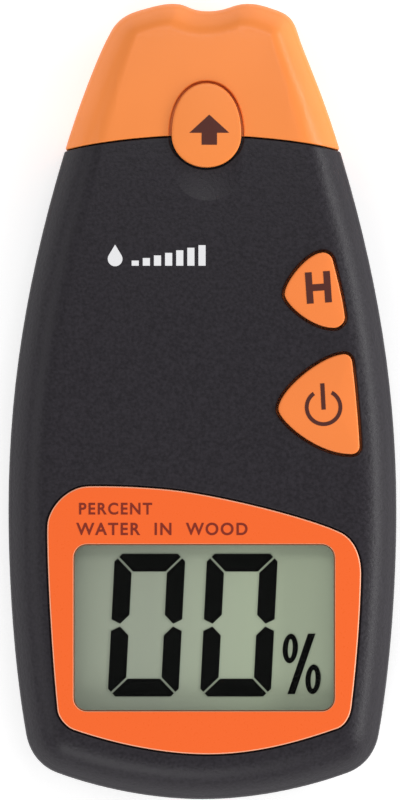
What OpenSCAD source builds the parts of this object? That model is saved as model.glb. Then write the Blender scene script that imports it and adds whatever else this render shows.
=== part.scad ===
// Pin-type moisture meter for wood floors and joists.
// It lies on its flat back: X is across, Y runs from the foot to the measuring pins, and Z is up
// through the display.
// The origin is on the resting plane, midway across and midway along.

/* [Body] */
// Length from the curved foot to the humps of the cap
body_length = 140; // [138:0.5:142]
// Width across the widest part of the grip
body_width = 68.2; // [67.4:0.1:69]
// Thickness from the flat back to the flat front face
body_thickness = 28; // [28:0.1:29]
// Wall of the two case halves
wall = 2; // [1.9:0.05:2.1]
// Height of the plane where the case halves meet
parting_z = 13; // [12.5:0.1:13.5]
// How far the front slopes down at the pin end
front_drop = 5.5; // [5:0.1:6]
// How far the back slopes up at the pin end
back_rise = 4.5; // [4:0.1:5]

/* [Cap] */
// Height of the joint line between body and cap, on the centre line
seam_y = 46.4; // [46.2:0.1:46.6]
// Radius of the arched joint line
seam_radius = 120; // [100:5:150]
// Wall of the cap
cap_wall = 2.4; // [2.2:0.1:2.4]
// Sideways place of the cap's release button
button_x = 0.7; // [0:0.1:1]
// How far the cap pulls off
cap_travel = 34; // [30:1:40]

/* [Keys] */
// Gap round each key and round the release button
key_gap = 0.45; // [0.35:0.05:0.55]
// How far the keys stand above the front face
key_proud = 0.7; // [0.5:0.1:0.9]

/* [Display] */
// Width of the display opening
window_w = 45.9; // [45:0.1:46]
// Height of the display opening
window_h = 29.4; // [29:0.1:29.5]
// Height of the digits
digit_h = 25; // [24:0.5:25]

/* [Measuring pins] */
// Distance between the two pins
pin_spacing = 18; // [17:0.5:19]
// Radius of a needle
needle_r = 0.95; // [0.8:0.05:1]

/* [Battery] */
// Width of the block battery
battery_w = 26.2; // [26:0.1:26.4]
// Length of the block battery without its terminals
battery_l = 46.2; // [45.6:0.1:46.4]
// Depth of the block battery
battery_d = 17; // [16.6:0.1:17]

/* [Hidden] */
$fn = 48;

half_l = body_length / 2;
scale_x = body_width / 68.2;
scale_y = body_length / 140;
steps = 5;              // points on each stretch of the body's outline
loop_steps = 6;         // points on each stretch of a small loop
arc_steps = 5;          // rings round an edge
cut = 1;                // how far a cutting shape runs past what it cuts
snug = 0.05;            // gap between fitted pieces that don't move

// Heights of the layers, from the front face down
front_z = body_thickness;
inside_z = front_z - wall;
bezel_top = front_z + 0.25;
bezel_floor = inside_z + 0.95;
lens_t = 0.8;
glass_t = 1.1;
lcd_top = inside_z - snug;
board_t = 1.2;
board_top = front_z - 6.3;
board_bottom = board_top - board_t;

// Edges: the front edge is a wide soft oval, the back edge a smaller round
front_round_x = 7.5;
front_round_z = 9;
back_round = 5;
pin_end_round = 3;      // how much narrower the rounds get towards the pin end
pin_end_lean = 1.4;     // how far the humps of the cap sit to the right
lean_y = 58;            // where that lean starts
front_slope_y = 10;     // the front is flat up to here
back_slope_y = 20;      // the back is flat up to here

// Cap, its release button and the neck inside it
neck_inset = cap_wall + 0.4;
neck_end = 57.5;
button_y = 48.5;
button_tilt = front_slope(button_y);
well_depth = 1.2;
stem_y = 2;             // from the button's middle
stem_r = 2;
disc_r = 2.9;
// Shallow hollow for the thumb, below the release button
hollow_place = [0.9, 41];
hollow_r = 33;
hollow_depth = 0.6;
// Pins and their block
pin_x = pin_spacing / 2;
pin_z = 13;
nose_x = 13;
nose_low = 8.3;
nose_high = 17.8;
socket_back = 47;
needle_tip = 66;
// Battery bay, its door and the battery
bay_x = battery_w / 2 + 0.5;
bay_low = -62.5;
bay_high = -8.5;
battery_foot = -61.8;
battery_low = 2.1;
battery_mid = battery_low + battery_d / 2;
bay_top = battery_low + battery_d + 0.2;
rail_x = 16.8;
door_x = 15.3;
door_top = -7.8;
door_foot_x = 17.2;
door_foot_z = 7.5;
label_y = 6;
// Screws
case_screw_places = [[-22.3, -60], [22.3, -60], [-19.3, 36], [19.3, 36]];
board_screw_places = [[-26.4, -17.5], [26.4, -17.5], [-20, 24], [1.5, 26.5]];
boss_r = 2.7;
head_seat = 6;
// Display
window_x = 0.3;
window_y = -39.7;
lens_w = window_w + 1.8;
lens_h = window_h + 1.8;
digit_w = 12.4;
digit_lean = 2.9;
digit_y = -39.3;
digit_places = [-9.8, 6.4];
bar_w = 3.1;
bar_gap = 0.5;
digit_corner = 1.1;
// Keys and their switches
flange_top = inside_z - 1.35;
switch_top = board_top + 1.3;
hold_switch_place = [20.5, 19];
power_switch_place = [21.5, -1];

// Right half of the body's outline, from foot to pin end: x, y, heading, reach before, reach after
OUTLINE = [
    [0, -70, 0, 0, 8.7],
    [25.4, -65.4, 20, 8, 3.3],
    [31, -58.5, 80, 3.3, 12.4],
    [34.1, -19, 90, 12.6, 21],
    [24.5, 43, 106.5, 22.5, 8.8],
    [16.4, 65.1, 113, 8.6, 3.2],
    [10.9, 69.2, 163, 2.2, 2],
    [6.5, 70, 180, 1.5, 2.6],
    [0, 68.7, 180, 3.5, 0]];
// Small loops, anticlockwise, with the same five values
BEZEL = [
    [1, -61.9, 0, 9, 9],
    [23.6, -57.4, 19, 6, 1.4],
    [26.1, -53.6, 83, 1.8, 7],
    [27.8, -30.5, 89, 7, 3],
    [24, -22.9, 155, 3.2, 6],
    [-6.8, -15.4, 175, 9, 5],
    [-20, -14.9, 181, 4, 3.6],
    [-27.2, -22, 269, 3.4, 6],
    [-25.4, -54.2, 276, 10, 1.4],
    [-22.6, -57.6, 341, 1.2, 6]];
HOLD_KEY = [
    [14.4, 18.7, 270, 2.2, 1.6],
    [23, 12.8, 0, 4, 1],
    [24.9, 14.8, 97, 1, 3.5],
    [22.8, 24.6, 104, 3.5, 0.9],
    [21, 26, 182, 0.9, 2.6]];
POWER_KEY = [
    [13.3, -1.4, 270, 3.2, 2],
    [26, -9.3, 0, 6, 0.9],
    [27.5, -7.8, 93, 0.9, 4],
    [26.2, 6.8, 97, 4, 0.9],
    [24.6, 8.2, 185, 0.9, 4]];
EGG = [
    [0, -7.6, 0, 3.5, 3.5],
    [6.1, -1.9, 90, 3.1, 5.5],
    [0, 7.25, 180, 3.6, 3.6],
    [-6.1, -1.9, 270, 5.5, 3.1]];

// ---- Curves -------------------------------------------------------------------------------------
function unit(v) = v / norm(v);
function heading(a) = [cos(a), sin(a)];
function bez(p, t) = pow(1 - t, 3) * p[0] + 3 * t * pow(1 - t, 2) * p[1]
    + 3 * t * t * (1 - t) * p[2] + pow(t, 3) * p[3];
function bez_way(p, t) = unit(pow(1 - t, 2) * (p[1] - p[0]) + 2 * t * (1 - t) * (p[2] - p[1])
    + t * t * (p[3] - p[2]));
function knot_place(k) = [k[0], k[1]];
function stretch(a, b) = [knot_place(a), knot_place(a) + a[4] * heading(a[2]),
    knot_place(b) - b[3] * heading(b[2]), knot_place(b)];
// A point on a stretch, moved outwards by grow
function beside(p, t, grow) = let (w = bez_way(p, t)) bez(p, t) + grow * [w[1], -w[0]];
// A closed loop through its knots, grown outwards
function loop(knots, grow = 0) = [for (k = [0 : len(knots) - 1], i = [0 : loop_steps - 1])
    beside(stretch(knots[k], knots[(k + 1) % len(knots)]), i / loop_steps, grow)];

// ---- The body's skin ----------------------------------------------------------------------------
function past(y, start) = max(0, (y - start) / (half_l - start));
function front_height(y) = front_z - front_drop * pow(past(y, front_slope_y), 2);
function front_slope(y) = atan(2 * front_drop * (y - front_slope_y) / pow(half_l - front_slope_y, 2));
function back_height(y) = back_rise * pow(past(y, back_slope_y), 2);
function round_width(full, y) = full - pin_end_round * past(y, 40);
last_knot = len(OUTLINE) - 1;
half_count = last_knot * steps;
count = 2 * half_count;
spine_end = (last_knot - 3) * steps;

// Place on the right half of the outline, 0 at the foot and half_count at the pin end, pulled in by inset
function outline_at(i, inset) = let (k = min(floor(i / steps), last_knot - 1), t = i / steps - k,
    p = stretch(OUTLINE[k], OUTLINE[k + 1]), q = beside(p, t, 0), w = bez_way(p, t))
    [q[0] * scale_x - inset * w[1], q[1] * scale_y + inset * w[0]];
// A point of the skin where its slope has the given angle: 0 is upright, 90 is flat.
// side is 1 in front and -1 behind
function skin_point(i, inset, angle, side) = let (
    y = outline_at(i, 0)[1],
    round_x = max(0, round_width(side > 0 ? front_round_x : back_round, y) - inset),
    round_z = max(0, (side > 0 ? front_round_z : back_round) - inset),
    p = outline_at(i, inset + round_x * (1 - cos(angle))),
    face = side > 0 ? front_height(p[1]) - inset : back_height(p[1]) + inset)
    [p[0], p[1], face - side * round_z * (1 - sin(angle))];
// A closed ring: up the right side, then down the left
function whole_ring(half) = [for (i = [0 : count - 1]) let (
    p = half[min(i, count - i)], x = i > half_count ? -p[0] : p[0])
    [x + pin_end_lean * pow(past(p[1], lean_y), 3), p[1], p[2]]];
function flat_ring(inset, z) = whole_ring(
    [for (i = [0 : half_count]) let (p = outline_at(i, inset)) [p[0], p[1], z]]);
function round_ring(inset, angle, side) = whole_ring(
    [for (i = [0 : half_count]) skin_point(i, inset, angle, side)]);

// The body's solid shape pulled in by inset, from low to high. Without low it starts at the back
// face, and without high it ends at the front face. Each end is filled by strips that meet on a
// spine along the centre line.
module skin(inset, low = undef, high = undef) {
    rings = concat(
        is_undef(low) ? [for (a = [arc_steps : -1 : 0]) round_ring(inset, 90 * a / arc_steps, -1)]
            : [flat_ring(inset, low)],
        is_undef(high) ? [for (a = [0 : arc_steps]) round_ring(inset, 90 * a / arc_steps, 1)]
            : [flat_ring(inset, high)]);
    top = len(rings) - 1;
    low_spine = [for (i = [0 : spine_end]) [0, rings[0][i][1], rings[0][i][2]]];
    high_spine = [for (i = [0 : spine_end]) [0, rings[top][i][1], rings[top][i][2]]];
    low_at = count * len(rings);
    high_at = low_at + spine_end + 1;
    function spine(at, ring_at, i) = i == 0 ? ring_at : at + min(i, spine_end);
    function turned(face, turn) = turn ? [for (k = [len(face) - 1 : -1 : 0]) face[k]] : face;
    function end_faces(at, ring_at, up) = [for (i = [0 : half_count - 1], s = [0, 1]) let (
        a = ring_at + (s == 0 ? i : (count - i) % count),
        b = ring_at + (s == 0 ? i + 1 : count - i - 1),
        c = spine(at, ring_at, i + 1),
        d = spine(at, ring_at, i))
        turned(concat([a, b, c], d == c || d == a ? [] : [d]), (s == 0) == up)];
    walls = [for (r = [0 : top - 1], i = [0 : count - 1]) let (j = (i + 1) % count)
        [r * count + i, (r + 1) * count + i, (r + 1) * count + j, r * count + j]];
    polyhedron(points = concat([for (r = rings) each r], low_spine, high_spine),
        faces = concat(walls, end_faces(low_at, 0, false), end_faces(high_at, top * count, true)),
        convexity = 6);
}

// ---- Simple shapes ------------------------------------------------------------------------------
module body_zone(gap = 0) translate([0, seam_y - seam_radius, -cut])
    cylinder(r = seam_radius + gap, h = body_thickness + 2 * cut, $fn = 96);
module span(from, to) translate(from) cube(to - from);
module plate(points, low, high) translate([0, 0, low]) linear_extrude(high - low) polygon(points);
module round_rect(w, h, r) {
    square([w - 2 * r, h], center = true);
    square([w, h - 2 * r], center = true);
    for (x = [-1, 1], y = [-1, 1]) translate([x * (w / 2 - r), y * (h / 2 - r)]) circle(r = r);
}
module slab(w, h, r, low, high) translate([0, 0, low]) linear_extrude(high - low) round_rect(w, h, r);
module post(r, low, high) translate([0, 0, low]) cylinder(r = r, h = high - low);
module at(places) for (p = places) translate([p[0], p[1], 0]) children();
// A round bar along Y
module rod(r, from, to) translate([0, from, 0]) rotate([-90, 0, 0]) cylinder(r = r, h = to - from);
module over_button() translate([button_x, button_y, front_height(button_y)])
    rotate([-button_tilt, 0, 0]) children();
module over_window() translate([window_x, window_y, 0]) children();

// A round wire along a path. across is a direction the path never runs in
module wire(path, r, across, sides = 8) {
    n = len(path);
    ring = [for (k = [0 : n - 1]) let (
        way = unit(path[min(k + 1, n - 1)] - path[max(k - 1, 0)]),
        u = unit(cross(way, across)), v = cross(way, u))
        [for (s = [0 : sides - 1]) path[k] + r * (cos(360 * s / sides) * u + sin(360 * s / sides) * v)]];
    polyhedron(points = concat([for (q = ring) each q], [path[0], path[n - 1]]),
        faces = concat(
            [for (k = [0 : n - 2], s = [0 : sides - 1]) let (t = (s + 1) % sides)
                [k * sides + s, (k + 1) * sides + s, (k + 1) * sides + t, k * sides + t]],
            [for (s = [0 : sides - 1]) let (t = (s + 1) % sides) [n * sides, s, t]],
            [for (s = [0 : sides - 1]) let (t = (s + 1) % sides, e = (n - 1) * sides)
                [n * sides + 1, e + t, e + s]]),
        convexity = 4);
}
// A smooth path from a to d, leaving towards b and arriving from c
function lead_path(a, b, c, d) = [for (i = [0 : 14]) bez([a, b, c, d], i / 14)];

// ---- Case ---------------------------------------------------------------------------------------
module parting_cut(side) if (side > 0) span([-50, -90, -cut], [50, 90, parting_z]);
    else span([-50, -90, parting_z - snug], [50, 90, 50]);
module half(inset, side) if (side > 0) skin(inset, low = parting_z - 2);
    else skin(inset, high = parting_z + 2);
// One empty half of the case: the body up to the joint line and the neck that the cap sits on
module half_shell(side) difference() {
    union() {
        intersection() {
            half(0, side);
            body_zone();
        }
        intersection() {
            half(neck_inset, side);
            span([-50, 38, -cut], [50, neck_end, 50]);
        }
    }
    intersection() {
        half(wall, side);
        body_zone(-wall);
    }
    intersection() {
        half(neck_inset + wall, side);
        span([-50, -90, -cut], [50, neck_end - wall, 50]);
    }
    parting_cut(side);
    span([-nose_x - snug, neck_end - 2 * wall, nose_low - snug],
        [nose_x + snug, neck_end + cut, nose_high + snug]);
}
module button_well() over_button() plate(loop(EGG, key_gap), -well_depth, 10);

module thumb_hollow() translate([hollow_place[0], hollow_place[1], front_height(hollow_place[1])])
    rotate([-front_slope(hollow_place[1]), 0, 0])
        translate([0, 0, hollow_r - hollow_depth]) sphere(r = hollow_r, $fn = 96);

module front_case() color([0.16, 0.15, 0.17]) difference() {
    union() {
        half_shell(1);
        intersection() {
            half(wall / 2, 1);
            union() {
                at(case_screw_places) post(boss_r, parting_z, front_z);
                at(board_screw_places) post(2.2, board_top + snug, front_z);
            }
        }
    }
    at(case_screw_places) post(1.35, parting_z - cut, 21.5);
    at(board_screw_places) post(0.92, board_top - cut, inside_z - 0.9);
    plate(loop(BEZEL, snug), bezel_floor - snug, front_z + cut);
    over_window() slab(window_w + 0.6, window_h + 0.6, 2.7, inside_z - cut, front_z + cut);
    plate(loop(HOLD_KEY, key_gap), inside_z - 5, front_z + cut);
    plate(loop(POWER_KEY, key_gap), inside_z - 5, front_z + cut);
    button_well();
    thumb_hollow();
    over_button() span([-disc_r - 0.6, stem_y - disc_r - 0.4, -4.7], [disc_r + 0.6, 30, 10]);
}

module rear_case() color([0.14, 0.13, 0.15]) difference() {
    union() {
        half_shell(-1);
        intersection() {
            half(wall / 2, -1);
            at(case_screw_places) post(boss_r + 1.2, 0, parting_z - snug);
        }
        span([-bay_x - 1.2, bay_low - 1.2, 1], [bay_x + 1.2, bay_high + 1.2, bay_top + 1]);
        span([-rail_x - 1.2, bay_low - 1.2, 1], [rail_x + 1.2, bay_high + 1.2, 4.4]);
    }
    span([-bay_x, bay_low, -cut], [bay_x, bay_high, bay_top]);
    span([-rail_x, bay_low - 20, wall], [rail_x, bay_high, 3.2]);
    span([-door_x - 0.2, -90, -cut], [door_x + 0.2, door_top + 0.2, 3.2]);
    span([-door_foot_x - 0.2, -90, -cut], [door_foot_x + 0.2, bay_low - 0.7, door_foot_z + 0.2]);
    span([-9, bay_high - cut, 7.6], [9, bay_high + 2, 14]);
    at(case_screw_places) {
        post(2.75, -cut, head_seat);
        post(1.6, 0, parting_z + cut);
    }
    translate([0, label_y, 0]) slab(34.3, 20.3, 1.65, -cut, 0.3);
}

module battery_door() color([0.15, 0.14, 0.16]) difference() {
    union() {
        span([-door_x, bay_low - 2.5, 0.15], [door_x, door_top, 1.75]);
        span([-door_x + 0.9, bay_low + 0.6, 1], [door_x - 0.9, bay_high - 1.5, 2.85]);
        span([-rail_x + 0.3, bay_low + 4, 2.1], [rail_x - 0.3, bay_high - 1.5, 2.85]);
        intersection() {
            difference() {
                skin(0, high = parting_z);
                skin(1.8, high = parting_z + 1);
            }
            span([-door_foot_x, -90, 0.15], [door_foot_x, bay_low - 0.9, door_foot_z]);
        }
    }
    span([-bay_x + 0.3, bay_low, 1.75], [bay_x - 0.3, bay_high, 4]);
    for (k = [0 : 5]) translate([0, -56 + 2.2 * k, 0]) slab(16 + 1.5 * k, 1.1, 0.54, -cut, 0.55);
}

module door_foam_pad() color([0.25, 0.25, 0.27]) translate([0, bay_low + 28, 0])
    slab(18, 30, 1, 1.75 + 0.02, battery_low - 0.02);
module rear_label() color([0.75, 0.75, 0.76]) translate([0, label_y, 0]) slab(34, 20, 1.5, 0.08, 0.28);
module case_screws() color([0.6, 0.6, 0.63]) at(case_screw_places) difference() {
    union() {
        post(2.45, head_seat - 1.9, head_seat - 0.02);
        post(1.3, head_seat - 0.5, 20.5);
    }
    span([-1.5, -0.3, 0], [1.5, 0.3, head_seat - 1]);
    span([-0.3, -1.5, 0], [0.3, 1.5, head_seat - 1]);
}

// ---- Cap ----------------------------------------------------------------------------------------
module pin_cap() color([1, 0.56, 0.26]) difference() {
    skin(0);
    body_zone(0.25);
    skin(cap_wall);
    button_well();
    over_button() translate([0, stem_y, 0]) {
        post(stem_r + 0.15, -4, 0);
        post(3.7, -1.8, 0);
    }
}
module cap_release_button() color([1, 0.5, 0.22]) over_button() {
    plate(loop(EGG), -0.3, 0.7);
    translate([0, stem_y, 0]) {
        post(stem_r, -2.7, 0);
        post(disc_r, -3.3, -2.5);
    }
}
module release_button_spring() color([0.75, 0.75, 0.78]) over_button() translate([0, stem_y, -1.8 + 0.2])
    wire([for (k = [0 : 32]) [2.85 * cos(22.5 * k), 2.85 * sin(22.5 * k), 1.08 * k / 32]], 0.18, [0, 0, 1]);

// ---- Measuring pins -----------------------------------------------------------------------------
module pin_block() color([0.86, 0.84, 0.78]) difference() {
    union() {
        span([-nose_x, neck_end - 2 * wall, nose_low], [nose_x, neck_end + 1, nose_high]);
        span([-nose_x - 0.7, neck_end - 7, nose_low - 0.7],
            [nose_x + 0.7, neck_end - wall - 0.1, nose_high + 0.8]);
    }
    at([[-pin_x, 0], [pin_x, 0]]) translate([0, 0, pin_z]) rod(2.52, 40, 70);
    span([-3, neck_end - 8, nose_low - 2], [3, neck_end - wall - 2, nose_high + 2]);
}
module pin_socket(x) color([0.83, 0.68, 0.35]) translate([x, 0, pin_z]) difference() {
    union() {
        rod(2.5, socket_back, neck_end + 1.4);
        rod(3.1, neck_end + 1.02, neck_end + 1.4);
    }
    rod(1.5, socket_back + 2, 70);
    rod(0.8, 30, 70);
}
module measuring_pin(x) color([0.8, 0.8, 0.82]) translate([x, 0, pin_z]) {
    rod(1.47, socket_back + 2.5, neck_end + 1.8);
    translate([0, neck_end + 1.45, 0]) rotate([-90, 0, 0]) cylinder(r = 2.5, h = 1.5, $fn = 6);
    rod(needle_r, neck_end + 2.5, needle_tip - 2.4);
    translate([0, needle_tip - 2.4, 0]) rotate([-90, 0, 0]) cylinder(r1 = needle_r, r2 = 0.08, h = 2.4);
}
module pin_lead(side) color([0.2, 0.25, 0.6])
    wire(lead_path([side * pin_x, socket_back - 0.05, pin_z], [side * pin_x, socket_back - 9, pin_z],
        [side * pin_x * 0.8, 27, 15], [side * pin_x * 0.6, 26, board_bottom - 0.3]), 0.65, [1, 0, 0]);

// ---- Display ------------------------------------------------------------------------------------
module display_bezel() color([1, 0.44, 0.18]) difference() {
    plate(loop(BEZEL), bezel_floor, bezel_top);
    over_window() slab(window_w, window_h, 2.4, 0, 40);
    over_window() slab(lens_w + 0.1, lens_h + 0.1, 2.9, 0, bezel_floor + lens_t + snug);
}
module display_window() color([0.85, 0.9, 0.9, 0.4]) over_window()
    slab(lens_w, lens_h, 2.85, bezel_floor, bezel_floor + lens_t);
module lcd_front_glass() color([0.8, 0.86, 0.82, 0.5]) over_window()
    span([-24, -16, lcd_top - glass_t], [24, 18.2, lcd_top]);
module lcd_rear_glass() color([0.6, 0.66, 0.56]) over_window()
    span([-24, -16, lcd_top - 2 * glass_t - 0.15], [24, 15.2, lcd_top - glass_t - 0.15]);
module lcd_reflector() color([0.8, 0.82, 0.78]) over_window()
    span([-23.8, -15.8, lcd_top - 2 * glass_t - 0.4], [23.8, 15, lcd_top - 2 * glass_t - 0.17]);
module lcd_frame() color([0.9, 0.9, 0.88]) over_window() difference() {
    span([-25.2, -17.2, board_top + snug], [25.2, 19.4, lcd_top - 0.5]);
    span([-24.1, -16.1, board_top - cut], [24.1, 18.3, 40]);
    span([-22, 12.2, board_top - cut], [22, 18.8, board_top + 1]);
}
module zebra_strip() color([0.3, 0.3, 0.32]) over_window()
    span([-22.5, 15.6, board_top + snug], [22.5, 17.8, lcd_top - glass_t - snug]);
// The bars of the digits lean to the right
function leaned(points) = [for (p = points) [p[0] + p[1] * tan(digit_lean), p[1]]];
module bar(points) linear_extrude(0.11) polygon(leaned(points));
// The top bar of a zero, and its upper left one. Mirrored, they give the other four
function top_bar(w, h, t, g, c) = [[-w + c + g, h], [w - c - g, h], [w - c / 2 - g, h - c / 2],
    [w - t - g, h - t], [-w + t + g, h - t], [-w + c / 2 + g, h - c / 2]];
function side_bar(w, h, t, g, c) = [[-w, h - c - g], [-w + c / 2, h - c / 2 - g], [-w + t, h - t - g],
    [-w + t, t / 2 + g], [-w + t / 2, g], [-w, t / 4 + g]];
module zero() {
    w = digit_w / 2;
    h = digit_h / 2;
    g = bar_gap / 2;
    for (s = [-1, 1]) {
        bar([for (p = top_bar(w, h, bar_w, g, digit_corner)) [p[0], s * p[1]]]);
        for (q = [-1, 1]) bar([for (p = side_bar(w, h, bar_w, g, digit_corner)) [q * p[0], s * p[1]]]);
    }
}
module lcd_digits() color([0.05, 0.05, 0.05]) for (x = digit_places)
    translate([x, digit_y, lcd_top - glass_t - 0.13]) zero();
function oval(w, h) = [for (a = [0 : 15 : 345]) [w * cos(a) + h * sin(a) * tan(digit_lean), h * sin(a)]];
module lcd_percent_sign() color([0.05, 0.05, 0.05]) translate([17.4, -46.1, lcd_top - glass_t - 0.13]) {
    for (s = [-1, 1]) translate([-s * 2, s * 2.7, 0]) linear_extrude(0.11)
        difference() {
            polygon(oval(1.35, 2.6));
            polygon(oval(0.42, 1.65));
        }
    linear_extrude(0.11) polygon([[-2.5, -5.3], [-1.2, -5.3], [2.4, 5.3], [1.1, 5.3]]);
}

// ---- Keys ---------------------------------------------------------------------------------------
module key(points, top, stem) {
    plate(points, flange_top - 0.3, top);
    translate([stem[0], stem[1], 0]) post(1.6, switch_top + 0.75, flange_top - 0.5);
}
module hold_key() color([1, 0.56, 0.28]) {
    key(loop(HOLD_KEY), front_z + key_proud - 0.15, hold_switch_place);
    plate(loop(HOLD_KEY, 1.3), flange_top - 0.8, flange_top);
}
module power_key() color([1, 0.56, 0.28]) {
    key(loop(POWER_KEY), front_z + key_proud, power_switch_place);
    plate(loop(POWER_KEY, 1.3), flange_top - 0.8, flange_top);
}
module switch(place) color([0.2, 0.2, 0.22]) translate([place[0], place[1], 0]) difference() {
    slab(5.2, 5.2, 0.5, board_top + snug, switch_top);
    post(1.25, board_top + 0.35, 40);
}
module plunger(place) color([0.85, 0.2, 0.15]) translate([place[0], place[1], 0])
    post(1.1, board_top + 0.95, switch_top + 0.72);

// ---- Electronics --------------------------------------------------------------------------------
module main_board() color([0.1, 0.4, 0.2]) difference() {
    intersection() {
        plate([for (p = flat_ring(4, 0)) [p[0], p[1]]], board_bottom, board_top);
        span([-50, -58.5, 0], [50, 30, 50]);
    }
    at(case_screw_places) post(boss_r + 0.5, 0, 50);
    at(board_screw_places) post(1.15, 0, 50);
}
module board_screws() color([0.75, 0.75, 0.77]) at(board_screw_places) difference() {
    union() {
        post(1.9, board_bottom - 1.25, board_bottom - 0.02);
        post(0.88, board_bottom - 0.5, inside_z - 1.2);
    }
    span([-1.1, -0.2, 0], [1.1, 0.2, board_bottom - 0.7]);
    span([-0.2, -1.1, 0], [0.2, 1.1, board_bottom - 0.7]);
}
module controller_blob() color([0.07, 0.07, 0.08]) translate([-9, 5, board_top + snug]) intersection() {
    translate([0, 0, -12.1]) sphere(r = 14, $fn = 120);
    post(8, 0, 5);
}
module amplifier_chip() color([0.12, 0.12, 0.13]) translate([4, 13, board_bottom - snug]) {
    span([-2.5, -2, -1.7], [2.5, 2, -0.3]);
    for (x = [-1.9 : 1.27 : 2], s = [-1, 1]) {
        span([x - 0.2, min(s * 1.9, s * 3), -1], [x + 0.2, max(s * 1.9, s * 3), -0.8]);
        span([x - 0.2, min(s * 2.8, s * 3), -1], [x + 0.2, max(s * 2.8, s * 3), 0]);
    }
}
module chip_part(w) {
    span([-w, -0.6, 0], [w, 0.6, 0.5]);
    for (s = [-1, 1]) translate([s * w, 0, 0]) span([-0.25, -0.65, 0], [0.25, 0.65, 0.55]);
}
resistor_places = [[-22, 15], [-22, 12], [-22, 9], [-22, 6], [5, 0], [5, -3], [5, -6], [-4, 18]];
capacitor_places = [[-22, -2], [-22, -5], [-16, 18], [-12, 18], [5, 5], [8, 9]];
module chip_resistors() color([0.1, 0.1, 0.12]) for (p = resistor_places)
    translate([p[0], p[1], board_top + snug]) chip_part(0.8);
module chip_capacitors() color([0.75, 0.62, 0.42]) for (p = capacitor_places)
    translate([p[0], p[1], board_top + snug]) chip_part(0.9);
module electrolytic_capacitor() color([0.15, 0.2, 0.45]) translate([-14, 4, 0]) difference() {
    union() {
        post(3.1, board_bottom - 7.5, board_bottom - 0.6);
        post(2.7, board_bottom - 0.8, board_bottom - snug);
    }
    span([-2, -0.12, 0], [2, 0.12, board_bottom - 7.3]);
}
module crystal_can() color([0.78, 0.78, 0.8]) translate([-16, -9, 0])
    slab(11, 4.6, 2.28, board_top + snug, board_top + 3.2);

// ---- Battery ------------------------------------------------------------------------------------
module block(w, d, r, from, to) translate([0, from, battery_mid]) rotate([-90, 0, 0])
    linear_extrude(to - from) round_rect(w, d, r);
module battery_case() color([0.15, 0.35, 0.65]) difference() {
    block(battery_w, battery_d, 1.6, battery_foot, battery_foot + battery_l);
    block(battery_w - 1, battery_d - 1, 1.2, battery_foot + battery_l - 0.4, battery_foot + battery_l + cut);
}
battery_end = battery_foot + battery_l;
module battery_terminal_positive() color([0.8, 0.8, 0.82]) translate([-6.35, 0, battery_mid]) {
    rod(3.6, battery_end - 0.38, battery_end + 0.3);
    rod(2.8, battery_end, battery_end + 2.6);
}
module battery_terminal_negative() color([0.8, 0.8, 0.82]) translate([6.35, 0, battery_mid]) difference() {
    union() {
        rod(3.6, battery_end - 0.38, battery_end + 0.3);
        translate([0, battery_end, 0]) rotate([-90, 0, 0]) cylinder(r = 4.3, h = 2.6, $fn = 6);
    }
    rod(2.9, battery_end + 0.4, battery_end + 5);
}
module battery_clip() color([0.12, 0.12, 0.13]) block(24, 12, 2.5, battery_end + 2.7, battery_end + 4);
module battery_clip_contacts() color([0.83, 0.7, 0.4]) translate([0, 0, battery_mid]) {
    translate([-6.35, 0, 0]) difference() {
        rod(3.9, battery_end + 0.4, battery_end + 2.68);
        rod(2.85, battery_end, battery_end + 5);
    }
    translate([6.35, 0, 0]) rod(2.8, battery_end + 0.5, battery_end + 2.68);
}
module battery_lead(side) wire(lead_path(
    [side * 4, battery_end + 4.05, battery_mid + 1], [side * 4, battery_end + 11, battery_mid + 1],
    [side * 5.5 - 3, -1, 14], [side * 5.5 - 3, 2, board_bottom - 0.35]), 0.7, [1, 0, 0]);
module battery_lead_red() color([0.75, 0.1, 0.08]) battery_lead(-1);
module battery_lead_black() color([0.06, 0.06, 0.07]) battery_lead(1);

// ---- The parts ----------------------------------------------------------------------------------
front_case();
rear_case();
battery_door();
door_foam_pad();
rear_label();
case_screws();
pin_cap();
cap_release_button();
release_button_spring();
pin_block();
pin_socket(-pin_x);  // pin_socket_left
pin_socket(pin_x);  // pin_socket_right
measuring_pin(-pin_x);  // measuring_pin_left
measuring_pin(pin_x);  // measuring_pin_right
pin_lead(-1);  // pin_lead_left
pin_lead(1);  // pin_lead_right
display_bezel();
display_window();
lcd_front_glass();
lcd_rear_glass();
lcd_reflector();
lcd_digits();
lcd_percent_sign();
lcd_frame();
zebra_strip();
hold_key();
power_key();
switch(hold_switch_place);  // hold_switch
plunger(hold_switch_place);  // hold_switch_plunger
switch(power_switch_place);  // power_switch
plunger(power_switch_place);  // power_switch_plunger
main_board();
board_screws();
controller_blob();
amplifier_chip();
chip_resistors();
chip_capacitors();
electrolytic_capacitor();
crystal_can();
battery_case();
battery_terminal_positive();
battery_terminal_negative();
battery_clip();
battery_clip_contacts();
battery_lead_red();
battery_lead_black();
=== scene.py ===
"""Looks of the pin-type moisture meter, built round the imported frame.

Shapes are worked out in millimetres, in the frame's own axes: X across, Y towards the pins and
Z up out of the display. Each piece is scaled to metres when it is finished.
"""

import math

import bmesh
import bpy
from mathutils import Matrix, Vector
from mathutils.bvhtree import BVHTree


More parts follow.
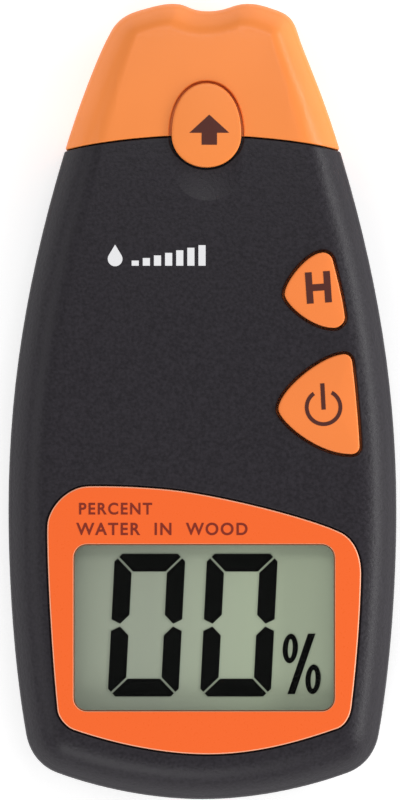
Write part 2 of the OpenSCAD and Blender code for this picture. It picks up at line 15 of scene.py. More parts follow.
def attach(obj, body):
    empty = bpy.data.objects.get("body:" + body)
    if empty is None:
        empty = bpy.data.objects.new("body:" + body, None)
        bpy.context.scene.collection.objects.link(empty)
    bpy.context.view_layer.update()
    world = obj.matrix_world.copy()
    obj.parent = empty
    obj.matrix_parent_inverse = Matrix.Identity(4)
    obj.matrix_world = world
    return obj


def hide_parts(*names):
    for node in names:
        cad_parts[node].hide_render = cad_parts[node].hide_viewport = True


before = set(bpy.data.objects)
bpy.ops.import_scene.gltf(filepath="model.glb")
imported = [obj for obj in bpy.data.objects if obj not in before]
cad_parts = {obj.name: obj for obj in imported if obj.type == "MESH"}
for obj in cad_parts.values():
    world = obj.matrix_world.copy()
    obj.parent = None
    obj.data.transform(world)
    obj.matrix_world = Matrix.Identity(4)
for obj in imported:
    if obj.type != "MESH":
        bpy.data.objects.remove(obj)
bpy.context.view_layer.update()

MM = 0.001

# ---- Sizes, as in the CAD -------------------------------------------------------------------
HALF_LENGTH = 70.0
FRONT = 28.0
WALL = 2.0
PARTING = 13.0
FRONT_DROP, FRONT_SLOPE_FROM = 5.5, 10.0
BACK_RISE, BACK_SLOPE_FROM = 4.5, 20.0
FRONT_ROUND_X, FRONT_ROUND_Z, BACK_ROUND = 7.5, 9.0, 5.0
PIN_END_ROUND, PIN_END_FROM = 3.0, 40.0
PIN_END_LEAN, LEAN_FROM = 1.4, 58.0
SEAM_Y, SEAM_RADIUS, SEAM_GAP = 46.4, 120.0, 0.25
CAP_WALL, NECK_INSET, NECK_END = 2.4, 2.8, 57.5
NOSE_X, NOSE_LOW, NOSE_HIGH, SNUG = 13.0, 8.3, 17.8, 0.05
BUTTON_X, BUTTON_Y, STEM_Y = 0.7, 48.5, 2.0
WELL_DEPTH, KEY_GAP = 1.2, 0.45
FLANGE_TOP, SWITCH_TOP = FRONT - WALL - 1.35, 23.0
HOLD_TOP, HOLD_STEM = 28.52, (20.5, 19)
POWER_TOP, POWER_STEM = 28.66, (21.5, -1)
HOLLOW_X, HOLLOW_Y, HOLLOW_R, HOLLOW_DEPTH = 0.9, 41.0, 33.0, 0.6
BEZEL_TOP, BEZEL_FLOOR, LENS_TOP = 28.25, 26.95, 27.8
WINDOW_X, WINDOW_Y, WINDOW_W, WINDOW_H = 0.3, -39.7, 45.9, 29.4
BAY_X, BAY_LOW, BAY_HIGH, BAY_TOP = 13.6, -62.5, -8.5, 19.3
RAIL_X, DOOR_X, DOOR_TOP = 16.8, 15.3, -7.8
DOOR_FOOT_X, DOOR_FOOT_Z = 17.2, 7.5
LABEL_Y = 6.0
HEAD_SEAT = 6.0
BOSS_R = 2.7
BATTERY_FOOT, BATTERY_END = -61.8, -15.6
CASE_SCREWS = [(-22.3, -60), (22.3, -60), (-19.3, 36), (19.3, 36)]
BOARD_SCREWS = [(-26.4, -17.5), (26.4, -17.5), (-20, 24), (1.5, 26.5)]

# Right half of the body's outline: x, y, heading in degrees, reach before, reach after
OUTLINE = [
    (0, -70, 0, 0, 8.7),
    (25.4, -65.4, 20, 8, 3.3),
    (31, -58.5, 80, 3.3, 12.4),
    (34.1, -19, 90, 12.6, 21),
    (24.5, 43, 106.5, 22.5, 8.8),
    (16.4, 65.1, 113, 8.6, 3.2),
    (10.9, 69.2, 163, 2.2, 2),
    (6.5, 70, 180, 1.5, 2.6),
    (0, 68.7, 180, 3.5, 0),
]
BEZEL = [
    (1, -61.9, 0, 9, 9),
    (23.6, -57.4, 19, 6, 1.4),
    (26.1, -53.6, 83, 1.8, 7),
    (27.8, -30.5, 89, 7, 3),
    (24, -22.9, 155, 3.2, 6),
    (-6.8, -15.4, 175, 9, 5),
    (-20, -14.9, 181, 4, 3.6),
    (-27.2, -22, 269, 3.4, 6),
    (-25.4, -54.2, 276, 10, 1.4),
    (-22.6, -57.6, 341, 1.2, 6),
]
HOLD_KEY = [
    (14.4, 18.7, 270, 2.2, 1.6),
    (23, 12.8, 0, 4, 1),
    (24.9, 14.8, 97, 1, 3.5),
    (22.8, 24.6, 104, 3.5, 0.9),
    (21, 26, 182, 0.9, 2.6),
]
POWER_KEY = [
    (13.3, -1.4, 270, 3.2, 2),
    (26, -9.3, 0, 6, 0.9),
    (27.5, -7.8, 93, 0.9, 4),
    (26.2, 6.8, 97, 4, 0.9),
    (24.6, 8.2, 185, 0.9, 4),
]
EGG = [
    (0, -7.6, 0, 3.5, 3.5),
    (6.1, -1.9, 90, 3.1, 5.5),
    (0, 7.25, 180, 3.6, 3.6),
    (-6.1, -1.9, 270, 5.5, 3.1),
]

# ---- Fineness of the looks ------------------------------------------------------------------
BODY_STEPS = 14
LOOP_STEPS = 14
ARC_STEPS = 12
LIP = 0.3
PARTING_LIP = 0.18
DISC_SIDES = 48
RING_STEPS = 36
SEAM_REACH = 12
SEAM_COLUMNS = range(-30, 31, 3)
SHARP_ANGLE = 32
GLOSS_DRIFT = 0.06
INK_STEP, INK_GAP, INK_RISE = 0.7, 0.003, 0.03
FLOOR_REACH = 20.0


# ---- Curves ---------------------------------------------------------------------------------
def heading(degrees):
    turn = math.radians(degrees)
    return Vector((math.cos(turn), math.sin(turn)))


def on_stretch(a, b, t):
    """Place and direction at t from 0 to 1 between two knots of an outline."""
    p0 = Vector(a[:2])
    p3 = Vector(b[:2])
    p1 = p0 + heading(a[2]) * a[4]
    p2 = p3 - heading(b[2]) * b[3]
    u = 1 - t
    place = p0 * u**3 + p1 * (3 * u * u * t) + p2 * (3 * u * t * t) + p3 * t**3
    way = (p1 - p0) * (u * u) + (p2 - p1) * (2 * u * t) + (p3 - p2) * (t * t)
    return place, way.normalized()


def loop(knots, grow=0.0, steps=LOOP_STEPS):
    """A closed outline, anticlockwise, grown outwards."""
    points = []
    for k, a in enumerate(knots):
        b = knots[(k + 1) % len(knots)]
        for i in range(steps):
            place, way = on_stretch(a, b, i / steps)
            points.append(place + Vector((way.y, -way.x)) * grow)
    return points


def grown(points, grow):
    """A closed anticlockwise outline of points, moved outwards by grow."""
    moved = []
    for i, p in enumerate(points):
        way = (points[(i + 1) % len(points)] - points[i - 1]).normalized()
        moved.append(p + Vector((way.y, -way.x)) * grow)
    return moved


def round_rect(w, h, r, steps=8):
    """A rectangle with round corners about the origin, anticlockwise."""
    points = []
    for cx, cy, start in ((1, -1, 270), (1, 1, 0), (-1, 1, 90), (-1, -1, 180)):
        for i in range(steps + 1):
            corner = Vector((cx * (w / 2 - r), cy * (h / 2 - r)))
            points.append(corner + heading(start + 90 * i / steps) * r)
    return points


def shifted(points, x, y):
    return [p + Vector((x, y)) for p in points]


# ---- The body's skin ------------------------------------------------------------------------
def past(y, start):
    return max(0.0, (y - start) / (HALF_LENGTH - start))


def front_height(y):
    return FRONT - FRONT_DROP * past(y, FRONT_SLOPE_FROM) ** 2


def back_height(y):
    return BACK_RISE * past(y, BACK_SLOPE_FROM) ** 2


HALF_OUTLINE = [
    on_stretch(OUTLINE[k], OUTLINE[k + 1], i / BODY_STEPS)
    for k in range(len(OUTLINE) - 1)
    for i in range(BODY_STEPS)
] + [on_stretch(OUTLINE[-2], OUTLINE[-1], 1.0)]
HALF_COUNT = len(HALF_OUTLINE) - 1
SPINE_END = HALF_COUNT - 3 * BODY_STEPS


def outline_at(i, inset):
    place, way = HALF_OUTLINE[i]
    return place - Vector((way.y, -way.x)) * inset


def skin_point(i, inset, angle, side):
    """A point where the skin's slope is at angle: 0 is upright, 90 flat. side is 1 in front."""
    y = HALF_OUTLINE[i][0].y
    full = FRONT_ROUND_X if side > 0 else BACK_ROUND
    round_x = max(0.0, full - PIN_END_ROUND * past(y, PIN_END_FROM) - inset)
    round_z = max(0.0, (FRONT_ROUND_Z if side > 0 else BACK_ROUND) - inset)
    turn = math.radians(angle)
    p = outline_at(i, inset + round_x * (1 - math.cos(turn)))
    face = front_height(p.y) - inset if side > 0 else back_height(p.y) + inset
    return (p.x, p.y, face - side * round_z * (1 - math.sin(turn)))


def whole_ring(half):
    """A closed ring from its right half. The humps at the pin end lean a little to the right."""
    ring = half + [(-x, y, z) for x, y, z in half[-2:0:-1]]
    return [(x + PIN_END_LEAN * past(y, LEAN_FROM) ** 3, y, z) for x, y, z in ring]


def flat_ring(inset, z):
    return whole_ring([(*outline_at(i, inset), z) for i in range(HALF_COUNT + 1)])


def round_rings(inset, side):
    rings = []
    for a in range(ARC_STEPS + 1):
        angle = 90 * a / ARC_STEPS
        rings.append(
            whole_ring([skin_point(i, inset, angle, side) for i in range(HALF_COUNT + 1)])
        )
    return rings


def lipped_end(inset, z, up, lip):
    """Rings from a flat end's face, at z, out to the upright wall. up is where the wall goes."""
    if lip == 0:
        return [flat_ring(inset, z)]
    rings = []
    for angle in (0, 30, 60, 90):
        turn = math.radians(angle)
        rings.append(
            flat_ring(inset + lip * (1 - math.sin(turn)), z + up * lip * (1 - math.cos(turn)))
        )
    return rings


def skin(name, inset=0.0, low=None, high=None, lip=0.0):
    """The body's solid shape pulled in by inset, with a flat end at low or high if given."""
    below = round_rings(inset, -1)[::-1] if low is None else lipped_end(inset, low, 1, lip)
    above = round_rings(inset, 1) if high is None else lipped_end(inset, high, -1, lip)[::-1]
    rings = below + above
    count = 2 * HALF_COUNT
    points = [p for ring in rings for p in ring]
    faces = []
    for r in range(len(rings) - 1):
        for i in range(count):
            j = (i + 1) % count
            faces.append(
                (r * count + i, r * count + j, (r + 1) * count + j, (r + 1) * count + i)
            )
    for r in (0, len(rings) - 1):
        spine = [r * count]
        for i in range(1, SPINE_END + 1):
            spine.append(len(points))
            points.append((0.0, *rings[r][i][1:]))
        for i in range(HALF_COUNT):
            c = spine[min(i + 1, SPINE_END)]
            d = spine[min(i, SPINE_END)]
            for a, b in ((i, i + 1), ((count - i) % count, count - i - 1)):
                corners = [r * count + a, r * count + b, c, d]
                faces.append(tuple(dict.fromkeys(corners)))
    return solid(name, points, faces)


# ---- Making and cutting meshes --------------------------------------------------------------
def solid(name, points, faces):
    """A new object, with all its faces turned outwards."""
    mesh = bpy.data.meshes.new(name)
    mesh.from_pydata([tuple(p) for p in points], [], faces)
    bm = bmesh.new()
    bm.from_mesh(mesh)
    bmesh.ops.remove_doubles(bm, verts=bm.verts, dist=1e-4)
    bmesh.ops.recalc_face_normals(bm, faces=bm.faces)
    bm.to_mesh(mesh)
    bm.free()
    obj = bpy.data.objects.new(name, mesh)
    bpy.context.scene.collection.objects.link(obj)
    return obj


def lofted(name, rings):
    """A closed solid through rings of equal count, lowest first, with flat ends."""
    count = len(rings[0])
    points = [p for ring in rings for p in ring]
    faces = [tuple(range(count)), tuple(range(len(points) - count, len(points)))]
    for r in range(len(rings) - 1):
        for i in range(count):
            j = (i + 1) % count
            faces.append(
                (r * count + i, r * count + j, (r + 1) * count + j, (r + 1) * count + i)
            )
    return solid(name, points, faces)


def prism(name, outline, low, high, lip=0.0):
    """An upright solid on an outline, with its top edge rounded by lip."""
    rings = [[(*p, low) for p in outline]]
    if lip == 0:
        rings.append([(*p, high) for p in outline])
        return lofted(name, rings)
    for angle in (0, 22, 45, 68, 90):
        turn = math.radians(angle)
        inner = grown(outline, -lip * (1 - math.cos(turn)))
        rings.append([(*p, high - lip * (1 - math.sin(turn))) for p in inner])
    return lofted(name, rings)


def block(name, low, high):
    xs, ys, zs = zip(low, high)
    outline = [Vector((xs[0], ys[0])), Vector((xs[1], ys[0])), Vector((xs[1], ys[1]))]
    outline.append(Vector((xs[0], ys[1])))
    return prism(name, outline, *zs)


def disc(name, x, y, r, low, high, lip=0.0):
    circle = [heading(360 * i / DISC_SIDES) * r for i in range(DISC_SIDES)]
    return prism(name, shifted(circle, x, y), low, high, lip)


def baked(obj):
    """Applies an object's modifiers to its mesh."""
    depsgraph = bpy.context.evaluated_depsgraph_get()
    mesh = bpy.data.meshes.new_from_object(obj.evaluated_get(depsgraph))
    obj.modifiers.clear()
    obj.data = mesh
    return obj


def combined(obj, others, operation):
    for other in others:
        step = obj.modifiers.new(operation.lower(), "BOOLEAN")
        step.operation = operation
        step.solver = "EXACT"
        step.object = other
    baked(obj)
    for other in others:
        bpy.data.objects.remove(other)
    return obj


def cut(obj, *others):
    return combined(obj, others, "DIFFERENCE")


def fused(obj, *others):
    return combined(obj, others, "UNION")


def grouped(obj, *others):
    """One object out of several solids that don't need to be fused."""
    bm = bmesh.new()
    for o in (obj, *others):
        bm.from_mesh(o.data)
    bm.to_mesh(obj.data)
    bm.free()
    for other in others:
        bpy.data.objects.remove(other)
    return obj


def sag(x, arched):
    return SEAM_RADIUS - math.sqrt(SEAM_RADIUS**2 - x * x) if arched else 0.0


def sliced(bm, faces, x):
    """Splits some of a mesh's faces along an upright plane across X. Gives the faces it made."""
    geometry = faces + list({e for f in faces for e in f.edges})
    geometry += list({v for f in faces for v in f.verts})
    done = bmesh.ops.bisect_plane(
        bm, geom=geometry, dist=1e-5, plane_co=(x, 0, 0), plane_no=(1, 0, 0)
    )
    return list({f for f in done["geom"] if isinstance(f, bmesh.types.BMFace)})


def trimmed(obj, edge, keep, lip=0.0, arched=True):
    """Cuts a solid across at y = edge, or along the arched joint line that crosses the centre
    line there. keep is 1 for the pin end's side and -1 for the foot's. lip rounds the new rim."""
    bm = bmesh.new()
    bm.from_mesh(obj.data)
    near = [f for f in bm.faces if abs(f.calc_center_median().y - edge) < SEAM_REACH]
    columns = SEAM_COLUMNS if arched else ()
    for x in columns:
        near = sliced(bm, near, x)
    for v in bm.verts:
        v.co.y += sag(v.co.x, arched)
    for share in (1.0, 0.65, 0.35, 0.12) if lip else ():
        geometry = bm.verts[:] + bm.edges[:] + bm.faces[:]
        place = (0, edge + keep * lip * share, 0)
        bmesh.ops.bisect_plane(bm, geom=geometry, dist=1e-5, plane_co=place, plane_no=(0, 1, 0))
    geometry = bm.verts[:] + bm.edges[:] + bm.faces[:]
    bmesh.ops.bisect_plane(
        bm,
        geom=geometry,
        dist=1e-5,
        plane_co=(0, edge, 0),
        plane_no=(0, 1, 0),
        clear_outer=keep < 0,
        clear_inner=keep > 0,
    )
    bm.normal_update()
    for v in bm.verts if lip else ():
        depth = 1 - abs(v.co.y - edge) / lip
        if depth > 0:
            v.co -= v.normal * lip * (1 - math.sqrt(1 - depth * depth))
    rim = [e for e in bm.edges if e.is_boundary]
    new = bmesh.ops.contextual_create(bm, geom=rim)["faces"]
    for x in columns:
        new = sliced(bm, new, x)
    for v in bm.verts:
        v.co.y -= sag(v.co.x, arched)
    bmesh.ops.recalc_face_normals(bm, faces=bm.faces)
    bm.to_mesh(obj.data)
    bm.free()
    return obj


def surface_of(obj):
    """A search tree of an object's mesh, to find heights on it."""
    bm = bmesh.new()
    bm.from_mesh(obj.data)
    tree = BVHTree.FromBMesh(bm)
    bm.free()
    return tree


def height_on(tree, x, y):
    hit = tree.ray_cast(Vector((x, y, 100)), Vector((0, 0, -1)))[0]
    return hit.z if hit else PARTING


whole = skin("whole")
SKIN = surface_of(whole)
bpy.data.objects.remove(whole)


def well(name, outline, floor=None, depth=0.0, lip=LIP):
    """A cutter that sinks a well into the front, with a rounded rim that follows the surface.
    It goes down to the height floor, or to a depth under the surface."""
    rings = []
    surface = [height_on(SKIN, *p) for p in outline]
    rings.append(
        [(*p, floor if floor is not None else z - depth) for p, z in zip(outline, surface)]
    )
    for angle in (0, 25, 50, 72):
        turn = math.radians(angle)
        outer = grown(outline, lip * (1 - math.cos(turn)))
        drop = lip * (1 - math.sin(turn))
        rings.append([(*p, height_on(SKIN, *p) - drop) for p in outer])
    outer = grown(outline, lip)
    heights = [height_on(SKIN, *p) for p in outer]
    rings.append([(*p, z + 0.015) for p, z in zip(outer, heights)])
    rings.append([(*p, z + 3) for p, z in zip(outer, heights)])
    return lofted(name, rings)


# ---- Materials ------------------------------------------------------------------------------
def linear(r, g, b):
    """A screen colour from 0 to 255, as the renderer's linear colour."""
    return tuple(
        (c / 255 / 12.92) if c <= 10 else ((c / 255 + 0.055) / 1.055) ** 2.4 for c in (r, g, b)
    )


def new_material(name):
    material = bpy.data.materials.new(name)
    material.use_nodes = True
    tree = material.node_tree
    shader = tree.nodes["Principled BSDF"]
    place = tree.nodes.new("ShaderNodeTexCoord").outputs["Object"]
    return material, tree, shader, place


def noise(tree, place, scale, detail=3.0, stretch=None):
    """Noise over the object, scale in features per millimetre."""
    if stretch is not None:
        mapping = tree.nodes.new("ShaderNodeMapping")
        mapping.inputs["Scale"].default_value = stretch
        tree.links.new(place, mapping.inputs["Vector"])
        place = mapping.outputs["Vector"]
    node = tree.nodes.new("ShaderNodeTexNoise")
    node.inputs["Scale"].default_value = scale / MM
    node.inputs["Detail"].default_value = detail
    tree.links.new(place, node.inputs["Vector"])
    return node.outputs["Fac"]


def spread(tree, value, low, high):
    """Maps noise to the range from low to high."""
    node = tree.nodes.new("ShaderNodeMapRange")
    node.inputs["From Min"].default_value = 0.3
    node.inputs["From Max"].default_value = 0.7
    node.inputs["To Min"].default_value = low
    node.inputs["To Max"].default_value = high
    tree.links.new(value, node.inputs["Value"])
    return node.outputs["Result"]


def toned(tree, value, dark, light):
    """Runs from one colour to another with a value."""
    node = tree.nodes.new("ShaderNodeValToRGB")
    node.color_ramp.elements[0].position = 0.3
    node.color_ramp.elements[0].color = (*dark, 1)
    node.color_ramp.elements[1].position = 0.7
    node.color_ramp.elements[1].color = (*light, 1)
    tree.links.new(value, node.inputs["Fac"])
    return node.outputs["Color"]


def bumped(tree, shader, value, height):
    """height is the relief in millimetres."""
    node = tree.nodes.new("ShaderNodeBump")
    node.inputs["Distance"].default_value = height * MM
    node.inputs["Strength"].default_value = 1.0
    tree.links.new(value, node.inputs["Height"])
    tree.links.new(node.outputs["Normal"], shader.inputs["Normal"])


def scaled(colour, factor):
    return tuple(min(1.0, c * factor) for c in colour)


def plastic_gloss(tree, shader, fine, rough, specular, relief):
    """Gloss that drifts with a fine grain and fades at glancing angles, as on textured plastic."""
    rough_range = (rough - GLOSS_DRIFT, rough + GLOSS_DRIFT)
    tree.links.new(spread(tree, fine, *rough_range), shader.inputs["Roughness"])
    glancing = tree.nodes.new("ShaderNodeLayerWeight").outputs["Facing"]
    tree.links.new(spread(tree, glancing, specular, 0.02), shader.inputs["Specular IOR Level"])
    bumped(tree, shader, fine, relief)


def moulded(
    name, colour, rough, grain=3.0, relief=0.01, specular=0.25, soft=0.04, speck=False
):
    """Moulded plastic or rubber: a fine grain, and colour and gloss that drift a little. The
    colour drifts slowly over the piece, or with the grain itself for a speckled look."""
    material, tree, shader, place = new_material(name)
    slow = noise(tree, place, 0.05, 2.0)
    fine = noise(tree, place, grain, 2.0)
    drift = fine if speck else slow
    tone = toned(tree, drift, scaled(colour, 1 - soft), scaled(colour, 1 + soft))
    tree.links.new(tone, shader.inputs["Base Color"])
    plastic_gloss(tree, shader, fine, rough, specular, relief)
    return material


def metal(name, colour, rough, stretch):
    """Bare metal with fine drawn or turned lines."""
    material, tree, shader, place = new_material(name)
    lines = noise(tree, place, 4.0, 3.0, stretch)
    tree.links.new(
        toned(tree, lines, scaled(colour, 0.85), scaled(colour, 1.08)), shader.inputs["Base Color"]
    )
    tree.links.new(spread(tree, lines, rough - 0.07, rough + 0.07), shader.inputs["Roughness"])
    shader.inputs["Metallic"].default_value = 1.0
    bumped(tree, shader, lines, 0.004)
    return material


def clear(name, colour, alpha):
    """A thin clear sheet."""
    material, tree, shader, place = new_material(name)
    haze = noise(tree, place, 0.3, 3.0)
    tree.links.new(spread(tree, haze, 0.05, 0.1), shader.inputs["Roughness"])
    shader.inputs["Base Color"].default_value = (*colour, 1)
    shader.inputs["Alpha"].default_value = alpha
    return material


CHARCOAL = linear(41, 38, 43)
ORANGE = linear(252, 144, 70)
DEEP_ORANGE = linear(250, 107, 45)
# Painted highlight: this pale orange is laid along the bezel's rounded edges.
PAINTED_HIGHLIGHT_ORANGE = linear(255, 180, 145)
# Painted shade: this brown is laid down the bezel's sides and its window wall.
PAINTED_SHADE_BROWN = linear(125, 72, 44)
KEY_ORANGE = linear(251, 138, 69)
DARK_BROWN = linear(84, 40, 32)
DARK_RED = linear(132, 42, 24)
LCD_GREEN = linear(152, 160, 143)
# Painted light: this lighter green brightens the display towards its right side.
LCD_PAINTED_LIGHT_GREEN = linear(170, 182, 156)

case_plastic = moulded(
    "case_plastic", CHARCOAL, 0.4, grain=1.8, relief=0.05, specular=0.2, soft=0.25, speck=True
)
cap_plastic = moulded("cap_plastic", ORANGE, 0.34, grain=2.5, relief=0.006, soft=0.03)
key_plastic = moulded("key_plastic", KEY_ORANGE, 0.34, grain=2.5, relief=0.005, soft=0.03)
legend_brown = moulded("legend_brown", DARK_BROWN, 0.55, relief=0.003)
legend_red = moulded("legend_red", DARK_RED, 0.55, relief=0.003)
legend_white = moulded("legend_white", linear(236, 236, 238), 0.55, relief=0.003)
display_ink = moulded("display_ink", linear(5, 5, 5), 0.6, relief=0.001, specular=0.02)
reflector = moulded("reflector", scaled(LCD_GREEN, 0.9), 0.35, grain=6.0, relief=0.004)
ivory_plastic = moulded("ivory_plastic", (0.68, 0.63, 0.52), 0.5)
white_plastic = moulded("white_plastic", (0.75, 0.75, 0.71), 0.45)
black_plastic = moulded("black_plastic", (0.018, 0.018, 0.02), 0.45)
red_plastic = moulded("red_plastic", (0.5, 0.03, 0.02), 0.4)
foam = moulded("foam", (0.05, 0.05, 0.055), 0.95, grain=1.6, relief=0.15, specular=0.2)
strip_rubber = moulded("strip_rubber", (0.06, 0.06, 0.07), 0.8, grain=5.0, relief=0.02)
chip_plastic = moulded("chip_plastic", (0.016, 0.016, 0.018), 0.55, grain=5.0, relief=0.01)
ceramic = moulded("ceramic", (0.48, 0.34, 0.17), 0.5, grain=5.0)
can_sleeve = moulded("can_sleeve", (0.03, 0.05, 0.2), 0.3)
board = moulded("board", (0.015, 0.15, 0.05), 0.35, grain=1.2, relief=0.02, soft=0.25)
wire_blue = moulded("wire_blue", (0.03, 0.06, 0.42), 0.45)
wire_red = moulded("wire_red", (0.48, 0.02, 0.015), 0.45)
wire_black = moulded("wire_black", (0.012, 0.012, 0.014), 0.45)
steel = metal("steel", (0.62, 0.62, 0.64), 0.22, (1, 0.08, 1))
zinc_steel = metal("zinc_steel", (0.5, 0.5, 0.53), 0.35, (1, 1, 1))
brass = metal("brass", (0.72, 0.5, 0.2), 0.28, (1, 1, 0.1))
tin_plate = metal("tin_plate", (0.7, 0.7, 0.72), 0.25, (1, 1, 1))
clear_window = clear("clear_window", (0.04, 0.045, 0.04), 0.02)
display_glass = clear("display_glass", (0.03, 0.035, 0.03), 0.015)


def along(tree, place, axis, low, high):
    """Runs from 0 to 1 between two places on an axis."""
    split = tree.nodes.new("ShaderNodeSeparateXYZ")
    tree.links.new(place, split.inputs["Vector"])
    node = tree.nodes.new("ShaderNodeMapRange")
    node.inputs["From Min"].default_value = low * MM
    node.inputs["From Max"].default_value = high * MM
    tree.links.new(split.outputs[axis], node.inputs["Value"])
    return node.outputs["Result"]


def painted_light_bezel_plastic():
    """The bezel's plastic: a painted highlight, paler, along its rounded edges, and painted shade,
    browner, down its sides.
    """
    material, tree, shader, place = new_material("bezel_plastic")
    ramp = tree.nodes.new("ShaderNodeValToRGB")
    ramp.color_ramp.elements[0].position = 0.1
    ramp.color_ramp.elements[0].color = (*PAINTED_SHADE_BROWN, 1)
    ramp.color_ramp.elements[1].position = 0.92
    ramp.color_ramp.elements[1].color = (*DEEP_ORANGE, 1)
    ramp.color_ramp.elements.new(0.2).color = (*PAINTED_HIGHLIGHT_ORANGE, 1)
    ramp.color_ramp.elements.new(0.78).color = (*PAINTED_HIGHLIGHT_ORANGE, 1)
    # Painted light by height: brown painted shade down the sides, a pale painted highlight along
    # the rounded top edge, and the bezel's own orange on top.
    tree.links.new(along(tree, place, "Z", BEZEL_TOP - 0.2, BEZEL_TOP), ramp.inputs["Fac"])
    tree.links.new(ramp.outputs["Color"], shader.inputs["Base Color"])
    plastic_gloss(tree, shader, noise(tree, place, 2.5, 2.0), 0.32, 0.25, 0.006)
    return material


def display_film():
    """The display's grey-green back, with painted light that makes it a little lighter towards the
    right.
    It has a painted glow, which lifts the shadow that the bezel casts on it."""
    material, tree, shader, place = new_material("display_back")
    across = along(tree, place, "X", WINDOW_X - WINDOW_W / 2, WINDOW_X + WINDOW_W / 2)
    # Painted light: the green turns lighter towards the right.
    tone = toned(tree, across, LCD_GREEN, LCD_PAINTED_LIGHT_GREEN)
    tree.links.new(tone, shader.inputs["Base Color"])
    fine = noise(tree, place, 4.0, 2.0)
    tree.links.new(spread(tree, fine, 0.55, 0.65), shader.inputs["Roughness"])
    shader.inputs["Specular IOR Level"].default_value = 0.15
    # Painted glow: the display's back glows though it is no lamp, lifting the bezel's shadow on
    # it.
    shader.inputs["Emission Color"].default_value = (*LCD_GREEN, 1)
    shader.inputs["Emission Strength"].default_value = 0.15
    bumped(tree, shader, fine, 0.002)
    return material


def ruled_label():
    """Satin label film with an empty ruled table."""
    material, tree, shader, place = new_material("label_film")
    mapping = tree.nodes.new("ShaderNodeMapping")
    mapping.inputs["Location"].default_value = (17 * MM, 4 * MM, 0)
    tree.links.new(place, mapping.inputs["Vector"])
    table = tree.nodes.new("ShaderNodeTexBrick")
    table.offset = 0.0
    table.inputs["Scale"].default_value = 1.0
    table.inputs["Brick Width"].default_value = 34 / 3 * MM
    table.inputs["Row Height"].default_value = 4 * MM
    table.inputs["Mortar Size"].default_value = 0.1 * MM
    table.inputs["Color1"].default_value = (0.5, 0.5, 0.52, 1)
    table.inputs["Color2"].default_value = (0.54, 0.54, 0.56, 1)
    table.inputs["Mortar"].default_value = (0.03, 0.03, 0.035, 1)
    tree.links.new(mapping.outputs["Vector"], table.inputs["Vector"])
    tree.links.new(table.outputs["Color"], shader.inputs["Base Color"])
    fine = noise(tree, place, 5.0, 2.0)
    tree.links.new(spread(tree, fine, 0.26, 0.36), shader.inputs["Roughness"])
    bumped(tree, shader, fine, 0.004)
    return material


def battery_wrap():
    """A metal jacket printed in two colours, split by a thin silver line."""
    material, tree, shader, place = new_material("battery_jacket")
    ramp = tree.nodes.new("ShaderNodeValToRGB")
    ramp.color_ramp.interpolation = "CONSTANT"
    ramp.color_ramp.elements[0].color = (0.02, 0.08, 0.33, 1)
    ramp.color_ramp.elements[1].position = 0.66
    ramp.color_ramp.elements[1].color = (0.6, 0.6, 0.62, 1)
    last = ramp.color_ramp.elements.new(0.69)
    last.color = (0.5, 0.2, 0.05, 1)
    tree.links.new(along(tree, place, "Y", BATTERY_FOOT, BATTERY_END), ramp.inputs["Fac"])
    tree.links.new(ramp.outputs["Color"], shader.inputs["Base Color"])
    fine = noise(tree, place, 1.5)
    tree.links.new(spread(tree, fine, 0.25, 0.36), shader.inputs["Roughness"])
    shader.inputs["Metallic"].default_value = 0.35
    bumped(tree, shader, fine, 0.006)
    return material


label_film = ruled_label()
display_back = display_film()
bezel_plastic = painted_light_bezel_plastic()
battery_jacket = battery_wrap()


# ---- Finishing pieces -----------------------------------------------------------------------
def finished(obj, body, material, slot, *nodes):
    """Scales a piece to metres, smooths it and puts it on its body in place of CAD nodes."""
    obj.data.transform(Matrix.Scale(MM, 4))
    obj.data.materials.clear()
    obj.data.materials.append(material)
    smoothed(obj)
    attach(obj, body)
    if nodes:
        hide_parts(*nodes)
    return obj


def smoothed(obj):
    obj.data.shade_smooth()
    obj.data.set_sharp_from_angle(angle=math.radians(SHARP_ANGLE))
    step = obj.modifiers.new("normals", "WEIGHTED_NORMAL")
    step.keep_sharp = True
    step.weight = 80


# ---- Case -----------------------------------------------------------------------------------
def front_slope(y):
    run = HALF_LENGTH - FRONT_SLOPE_FROM
    return math.atan(2 * FRONT_DROP * (y - FRONT_SLOPE_FROM) / run**2)


def on_front(x, y):
    """A frame that sits on the front surface and tilts with it."""
    return Matrix.Translation((x, y, front_height(y))) @ Matrix.Rotation(-front_slope(y), 4, "X")


def over_button():
    return on_front(BUTTON_X, BUTTON_Y)


def egg_outline(grow=0.0):
    """The release button's outline on the front, seen from above."""
    lean = math.cos(front_slope(BUTTON_Y))
    return [Vector((p.x + BUTTON_X, p.y * lean + BUTTON_Y)) for p in loop(EGG, grow)]


def thumb_hollow():
    """A cutter for the shallow round hollow below the release button."""
    rings = []
    for degrees in range(15):
        turn = math.radians(degrees + 0.2)
        rings.append((HOLLOW_R * math.sin(turn), HOLLOW_R * (1 - math.cos(turn)) - HOLLOW_DEPTH))
    rings.append((rings[-1][0], 4))
    circle = [heading(360 * i / 72) for i in range(72)]
    obj = lofted("hollow", [[(*(p * r), z) for p in circle] for r, z in rings])
    obj.data.transform(on_front(HOLLOW_X, HOLLOW_Y))
    return obj


def neck(name, back, front):
    """Half of the neck under the cap, with room inside for the pins' block."""
    obj = trimmed(skin(name, NECK_INSET, back, front), 45.0, 1, arched=False)
    trimmed(obj, NECK_END, -1, 0.3, arched=False)
    side, low, high = NOSE_X + SNUG, NOSE_LOW - SNUG, NOSE_HIGH + SNUG
    room = block("room", (-NOSE_X - 1, 40, NOSE_LOW - 1), (NOSE_X + 1, NECK_END - WALL, 19))
    mouth = block("mouth", (-side, 50, low), (side, 60, high))
    return cut(obj, room, mouth)


